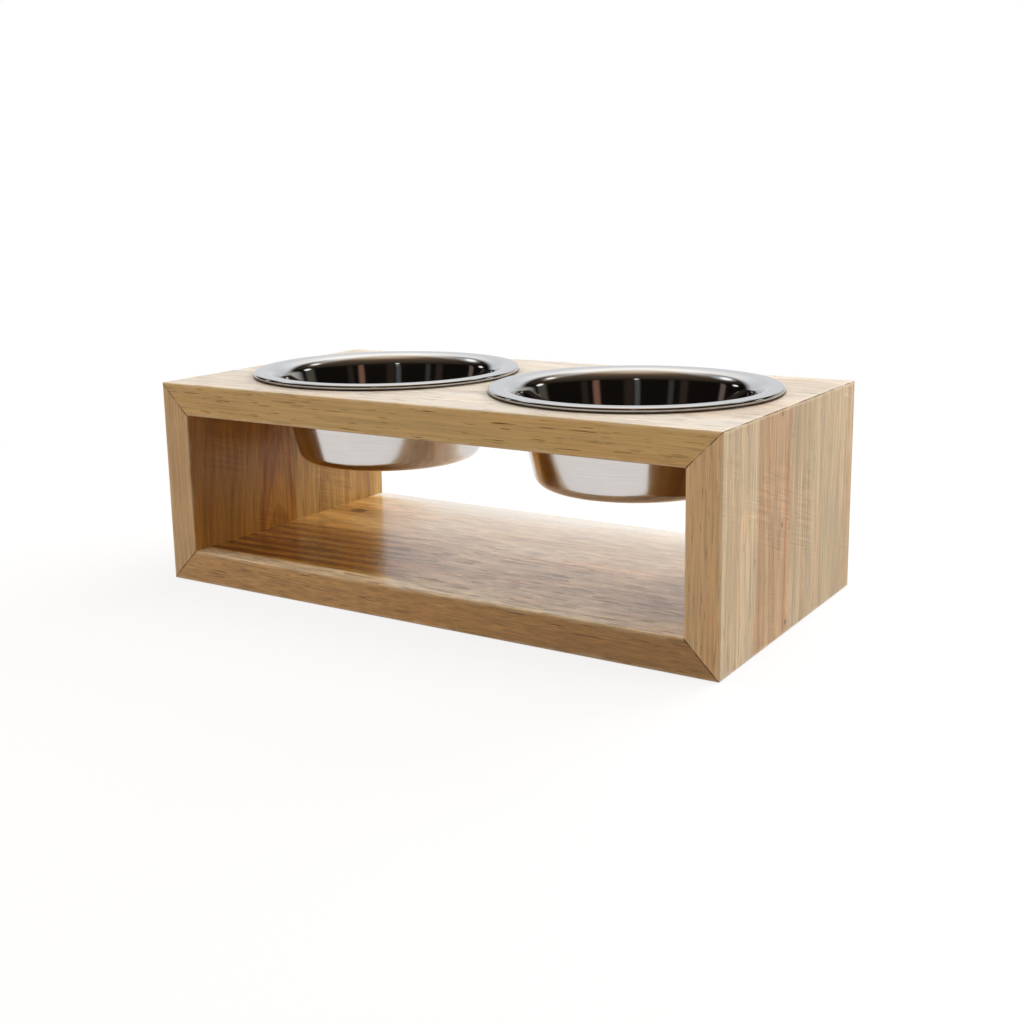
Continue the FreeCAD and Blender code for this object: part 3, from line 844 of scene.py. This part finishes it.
def aged(colour, parts, board):
    """The same wood with a painted sheen at the rear, tinted at its edges, given amber painted shade inside,
    worn and highlighted at its edges, dark at its seams, and with a painted shadow ring under each rim.
    """
    x, y, z = parts.spot
    # Painted sheen: the rear pales toward white where the lacquer would mirror the white sweep.
    if board.painted_rear_sheen:
        sheen_reach = FAR_SHEEN_SHARE * smooth(y, *FAR_SHEEN) + NEAR_REAR_SHEEN_SHARE * smooth(y, *NEAR_REAR_SHEEN)
        bare = (1.0 - parts.coat) * (1.0 - parts.on_edge)
        colour = blend(sheen_reach * board.painted_rear_sheen * bare, colour, SHEEN_WHITE)
    colour = tint(parts.on_edge, colour, blend(smooth(y, *EDGE_TO_REAR), board.edge, REAR_EDGE))
    if board.dusk:
        colour = scaled(colour, 1.0 - board.dusk * parts.on_edge * smooth(x, *DUSK_TO_RIGHT))
    amber = board.amber
    if board.rear_amber:
        amber = blend(smooth(y, *AMBER_TO_REAR), amber, board.rear_amber)
    # Painted shade: the amber tint inside the frame.
    colour = tint(parts.coat, colour, amber)
    # Pale rounded edges: partly wear, partly a painted highlight.
    colour = blend(parts.wear * WEAR_AND_HIGHLIGHT_SHARE, colour, WORN_AND_LIT)
    colour = blend(parts.seam * SEAM_SHARE, colour, SEAM_AND_SHADOW_BROWN)
    # Painted shadow: a dark ring under each bowl's rim.
    if board.marks:
        colour = blend(painted_rim_shadow(parts.spot) * board.marks, colour, SEAM_AND_SHADOW_BROWN)
    return colour


# Strength of the edges' wear and painted highlight, and of the seams.
print("edges wear by", WEAR_AND_HIGHLIGHT_SHARE, "and seams darken by", SEAM_SHARE)

# %% [markdown]
# ## Lacquered boards
#
# The lacquer is one thin brushed coat: it follows the grain, sinks into pores and is duller there. The
# inner face of the bottom board has a second, glossier varnish over its raised grain. A clear coat on
# the shader would lie flat over that grain, so two surfaces with the same bumps are mixed instead, and
# only the place decides which of them shows.

# %% Lacquer
LACQUER_IOR, VARNISH_IOR, VARNISH_SHARE = 1.5, 1.72, 0.65
# How far each part raises the surface, in millimetres, and how much it dulls it.
RELIEF = {"late": 0.006, "fine": 0.004, "coarse": 0.004, "brushed": 0.016, "scratch": 0.003,
          "pores": -0.012, "resin": -0.030, "seam": -0.120, "ripple": -0.045}
DULLING = {"brushed": 0.03, "fine": 0.03, "pores": 0.15, "resin": 0.20}


def total(parts, shares):
    """A sum of a board's parts, each by its share. A part that the board hasn't got is left out."""
    terms = [share * getattr(parts, name) for name, share in shares.items() if hasattr(parts, name)]
    return sum(terms[1:], terms[0])


def lacquer(colour, parts, board):
    """The surface of a board: one lacquer, or lacquer outside and a glossier varnish inside."""
    dull = board.sheen + total(parts, DULLING)
    normal = bump(total(parts, RELIEF), board.relief / TO_MM)
    coat = {"Base Color": colour, "Roughness": dull, "Normal": normal}
    surface = principled({**coat, "IOR": LACQUER_IOR})
    if board.ripple is not None:
        varnish = principled({**coat, "Roughness": dull * VARNISH_SHARE, "IOR": VARNISH_IOR})
        mixed = {0: parts.on_inner, 1: surface, 2: varnish}
        surface = Wire.node(colour.tree, "ShaderNodeMixShader", None, mixed)
    return surface


def pine(name, board):
    """Lacquered pine for one board."""
    finish = new_finish(name)
    parts = pine_parts(finish.node_tree, board)
    show(lacquer(aged(wood_colour(parts, board), parts, board), parts, board))
    return finish


def dress(node, finish):
    """Put one finish on a solid."""
    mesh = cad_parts[node].data
    mesh.materials.clear()
    mesh.materials.append(finish)
    print(node, "wears", finish.name, "of", len(finish.node_tree.nodes), "nodes")


print("lacquer ready, roughness from", Board.sheen)

# %% The top board
TOP_MIDDLE = STAND_HEIGHT - BOARD_THICKNESS / 2
TOP_EDGE = rgb(0.91, 0.70, 0.36)
# Its cream is partly a painted sheen on the top face.
dress("top_board", pine("pine_top", Board(
    # The amber tint underneath paints shade, deepening to the left.
    grain="X", pith=(15.0, -115.0), ring=6.0, wood=CREAM, seed=3.1, middle=TOP_MIDDLE, edge=TOP_EDGE,
    # marks paints the shadow ring under each rim.
    rings=0.7, fleck=0.34, resin=0.50, sheen=0.36, pool=(200.0, -200.0), marks=0.75)))

# %% The bottom board
# Seven red stripes run along its front half and fade toward the rear and to the right.
LOW_MIDDLE = BOARD_THICKNESS / 2
LOW_EDGE = rgb(0.62, 0.445, 0.25)
STRIPES, FIRST_STRIPE, STRIPE_STEP, STRIPE_FADE = 7, -78.0, 12.5, 0.08
LOW_STAINS = [(FIRST_STRIPE + STRIPE_STEP * i, 0.035, 4.8, 1.00 - STRIPE_FADE * i) for i in range(STRIPES)]
# Its amber tint paints the shade in the left of the frame, deepest at the front.
dress("bottom_board", pine("pine_bottom", Board(
    grain="X", pith=(10.0, -48.0), ring=10.0, wood=PALE, seed=7.7, middle=LOW_MIDDLE, edge=LOW_EDGE,
    rings=0.6, fleck=0.45, streak=0.50, fibre=28.0, resin=0.54, ripple=0.28, relief=1.8,
    heart=(-80.0, 72.0, 0.95, 0.40), heartwood=RED_HEART, stains=LOW_STAINS, stains_end=10.0,
    knots=((-157.0, 43.0, 5.5), (-138.0, -48.0, 2.0)), sheen=0.30, pool=(-30.0, -135.0), shade_edge=15.0,
    # Its rear is paled by a painted sheen.
    amber=DEEP_AMBER, rear_amber=GOLD_AMBER, dusk=0.30, painted_rear_sheen=0.85)))

# %% The left side
SIDE_MIDDLE = HALF_LENGTH - BOARD_THICKNESS / 2
LEFT_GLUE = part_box("left_front_stave")[1].y * TO_MM
PLAIN_EDGE, LEFT_EDGE = rgb(1.0, 0.95, 0.80), rgb(1.09, 1.07, 1.12)
dress("left_front_stave", pine("pine_left_front", Board(
    grain="Z", pith=(-20.0, -160.0), ring=6.0, wood=GOLDEN, seed=11.3, middle=-SIDE_MIDDLE, edge=LEFT_EDGE,
    taper=0.12, rings=0.5, fleck=0.42, heart=(-36.0, 40.0, 0.6, 0.6), glue_y=LEFT_GLUE,
    stains=((-40.0, 0.15, 3.5, 0.6), (-41.0, 0.30, 2.5, 0.5), (-5.0, -0.02, 3.0, 0.7)))))
dress("left_rear_stave", pine("pine_left_rear", Board(
    grain="Z", pith=(290.0, -90.0), ring=9.0, wood=TAN, seed=15.9, middle=-SIDE_MIDDLE, edge=PLAIN_EDGE,
    rings=0.9, fleck=0.60, glue_y=LEFT_GLUE, amber=PALE_AMBER,
    stains=((28.0, 0.05, 3.0, 0.55), (40.0, -0.04, 2.0, 0.40),
            (58.0, 0.03, 3.5, 0.35), (76.0, 0.0, 2.0, 0.35)))))

# %% The right side
RIGHT_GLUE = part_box("right_front_stave")[1].y * TO_MM
RIGHT_EDGE = rgb(1.15, 1.04, 0.98)
dress("right_front_stave", pine("pine_right_front", Board(
    grain="Z", pith=(-240.0, 90.0), ring=9.0, wood=HONEY, seed=21.4, middle=SIDE_MIDDLE, edge=RIGHT_EDGE,
    rings=0.45, fleck=0.48, heart=(-57.0, 40.0, 0.85, 0.85), glue_y=RIGHT_GLUE,
    knots=((131.0, -20.9, 0.8), (67.0, -17.9, 0.9), (7.0, -9.0, 1.6)),
    stains=((-14.0, 0.045, 4.0, 0.60), (-50.0, 0.0, 4.0, 0.25), (-32.0, 0.02, 1.5, 0.25)))))
dress("right_rear_stave", pine("pine_right_rear", Board(
    grain="Z", pith=(260.0, 80.0), ring=11.0, wood=TAN, seed=27.2, middle=SIDE_MIDDLE, edge=PLAIN_EDGE,
    rings=0.45, fleck=0.50, glue_y=RIGHT_GLUE)))

# %% [markdown]
# ## Biscuits
#
# Pressed beech ovals bridge the mitres inside the wood. Nothing of them shows until the frame is taken
# apart, so the finish is short: pale pink beech with its dark flecks, squeezed flat and left raw. The
# flecks are the cells of a Voronoi pattern, which lie apart as beech flecks do, where noise would run
# them together.

# %% Dress the biscuits
BEECH, BEECH_FLECK = rgb(0.56, 0.37, 0.22), rgb(0.33, 0.17, 0.085)
FLECK_PITCH, FLECK_EDGE, FLECK_SHARE = (1.1, 0.35, 1.1), (0.34, 0.12), 0.6
PRESS_PITCH, PRESS_TONE, PRESS_RELIEF, FLECK_RELIEF = (0.4, 0.2, 0.4), 0.2, 0.05, -0.03
BEECH_DULL, PRESS_DULL = 0.62, 0.12
beech = new_finish("raw_beech")
spot = millimetres(beech.node_tree)
cells = {"Vector": vector(*(part * count for part, count in zip(spot, FLECK_PITCH))), "Scale": 1.0}
cells = Wire.node(beech.node_tree, "ShaderNodeTexVoronoi", None, cells, "Distance")
flecks = smooth(cells, *FLECK_EDGE)
pressed = clouds(spot, PRESS_PITCH, 3.0)
show(principled({
    "Base Color": scaled(blend(flecks * FLECK_SHARE, BEECH, BEECH_FLECK), 1.0 + PRESS_TONE * pressed),
    "Roughness": BEECH_DULL + PRESS_DULL * pressed,
    "Normal": bump(PRESS_RELIEF * pressed + FLECK_RELIEF * flecks, 1.0 / TO_MM)}))
for node in sorted(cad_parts):
    if node.startswith("biscuit"):
        dress(node, beech)

# %% [markdown]
# ## Bowls
#
# A bowl is one disc of thin steel, pressed deep, its edge turned out into a flat flange and curled into
# a bead. Facets show at once in polished steel, so the section is drawn once as a line of flats and
# arcs, turned about the bowl's axis in fine steps, and given the sheet's thickness by a modifier.

# %% The section of a bowl
# Radii and heights are in millimetres, heights from the top of the board.
SHEET = 0.6
MOUTH, BASE, RIM = 75.0, 60.5, 90.0
RIM_TOP, BOWL_FLOOR = 3.6, -57.4
CORNER, ROLL, BEAD = 8.0, 10.0, 1.65
BEAD_END = -160.0
FLOOR_STEPS, CORNER_STEPS, WALL_STEPS, ROLL_STEPS, FLANGE_STEPS, BEAD_STEPS = 14, 14, 12, 26, 5, 26


def arc(centre, radius, start, end, steps):
    """Points on an arc, from one angle to another in degrees, without the first."""
    angles = [math.radians(start + (end - start) * i / steps) for i in range(1, steps + 1)]
    return [(centre[0] + radius * math.cos(a), centre[1] + radius * math.sin(a)) for a in angles]


def run(start, end, steps):
    """Points on a straight line, without the first."""
    return [tuple(a + (b - a) * i / steps for a, b in zip(start, end)) for i in range(1, steps + 1)]


lean = math.atan2(MOUTH - BASE, RIM_TOP - BOWL_FLOOR)
corner_run, roll_run = (radius / math.tan((math.pi / 2 + lean) / 2) for radius in (CORNER, ROLL))
wall_top = MOUTH - roll_run * math.sin(lean), RIM_TOP - roll_run * math.cos(lean)
lean = math.degrees(lean)
section = [(0.0, BOWL_FLOOR)]
section += run(section[-1], (BASE - corner_run, BOWL_FLOOR), FLOOR_STEPS)
section += arc((BASE - corner_run, BOWL_FLOOR + CORNER), CORNER, -90.0, -lean, CORNER_STEPS)
section += run(section[-1], wall_top, WALL_STEPS)
section += arc((MOUTH + roll_run, RIM_TOP - ROLL), ROLL, 180.0 - lean, 90.0, ROLL_STEPS)
section += run(section[-1], (RIM - BEAD, RIM_TOP), FLANGE_STEPS)
section += arc((RIM - BEAD, RIM_TOP - BEAD), BEAD, 90.0, BEAD_END, BEAD_STEPS)
print("section points:", len(section), "wall leans", round(lean, 2), "degrees")

# %% Turn it
TURNS = 192
WELD = 1e-7


def turn_bowl(name, node, body):
    """A shell turned from the section, in the place of a solid bowl."""
    low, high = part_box(node)
    axis = Vector(((low.x + high.x) / 2, (low.y + high.y) / 2, STAND_HEIGHT / TO_MM))
    shell = bmesh.new()
    line = [shell.verts.new((r / TO_MM, 0.0, z / TO_MM)) for r, z in section]
    edges = [shell.edges.new(pair) for pair in zip(line, line[1:])]
    bmesh.ops.spin(shell, geom=line + edges, cent=(0, 0, 0), axis=(0, 0, 1), angle=math.tau, steps=TURNS,
                   use_merge=True)
    bmesh.ops.remove_doubles(shell, verts=shell.verts, dist=WELD)
    bmesh.ops.recalc_face_normals(shell, faces=shell.faces)
    mesh = bpy.data.meshes.new(name)
    shell.to_mesh(mesh)
    shell.free()
    for face in mesh.polygons:
        face.use_smooth = True
    bowl = bpy.data.objects.new(name, mesh)
    bowl.location = axis
    bpy.context.scene.collection.objects.link(bowl)
    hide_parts(node)
    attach(bowl, body)
    return bowl


bowls = [turn_bowl("left_steel_bowl", "left_bowl", "left_bowl"),
         turn_bowl("right_steel_bowl", "right_bowl", "right_bowl")]
print("bowls:", [(bowl.name, len(bowl.data.polygons)) for bowl in bowls])

# %% [markdown]
# ## Steel
#
# The inside of a bowl is polished until it mirrors, and the outside keeps the lines of the brush that
# ran round it. Rings could be modelled, but they are finer than any mesh, so both finishes share one
# recipe of noise in rings about the bowl's axis, weak inside and strong outside, with faint smudges.

# %% Polished inside, brushed outside
STEEL_TONE, BRUSHED_TONE = (0.57, 0.57, 0.575), (0.71, 0.68, 0.66)
LINE_PITCH, LINE_BREAKS = 1.7, 1.5
SMUDGE_PITCH = (0.05, 0.05, 0.05)
LINE_TONE, LINE_DULL, LINE_RELIEF = 0.12, 0.10, 0.0020
SMUDGE_TONE, SMUDGE_DULL, SMUDGE_RELIEF = 0.04, 0.03, 0.006
# Each finish's roughness, and how strong its lines are.
POLISH, BRUSHING = (0.055, 0.15), (0.15, 0.8)


def steel(name, tone, roughness, lines):
    """Steel that was spun and polished: lines is the strength of the marks that run round the bowl."""
    finish = new_finish(name)
    x, y, z = spot = millimetres(finish.node_tree)
    radius = (x * x + y * y) ** 0.5
    angle = x.math("ARCTAN2", y, x)
    turned = noise(vector(radius * LINE_PITCH, z * LINE_PITCH, angle * LINE_BREAKS), 4.0, 0.7)
    smudge = clouds(spot, SMUDGE_PITCH, 4.0, 0.6)
    show(principled({
        "Base Color": scaled(tone, 1.0 + SMUDGE_TONE * smudge + LINE_TONE * lines * turned), "Metallic": 1.0,
        "Roughness": roughness + SMUDGE_DULL * smudge + LINE_DULL * lines * turned,
        "Normal": bump(LINE_RELIEF * lines * turned + SMUDGE_RELIEF * smudge, 1.0 / TO_MM)}))
    return finish


inside = steel("mirror_steel", STEEL_TONE, *POLISH)
outside = steel("brushed_steel", BRUSHED_TONE, *BRUSHING)
for bowl in bowls:
    bowl.data.materials.append(inside)
    bowl.data.materials.append(outside)
    sheet_metal = bowl.modifiers.new("sheet", "SOLIDIFY")
    sheet_metal.thickness = SHEET / TO_MM
    sheet_metal.offset = -1.0
    sheet_metal.use_even_offset = True
    sheet_metal.material_offset = 1
    sheet_metal.material_offset_rim = 1
print("finishes:", inside.name, outside.name)

# %% [markdown]
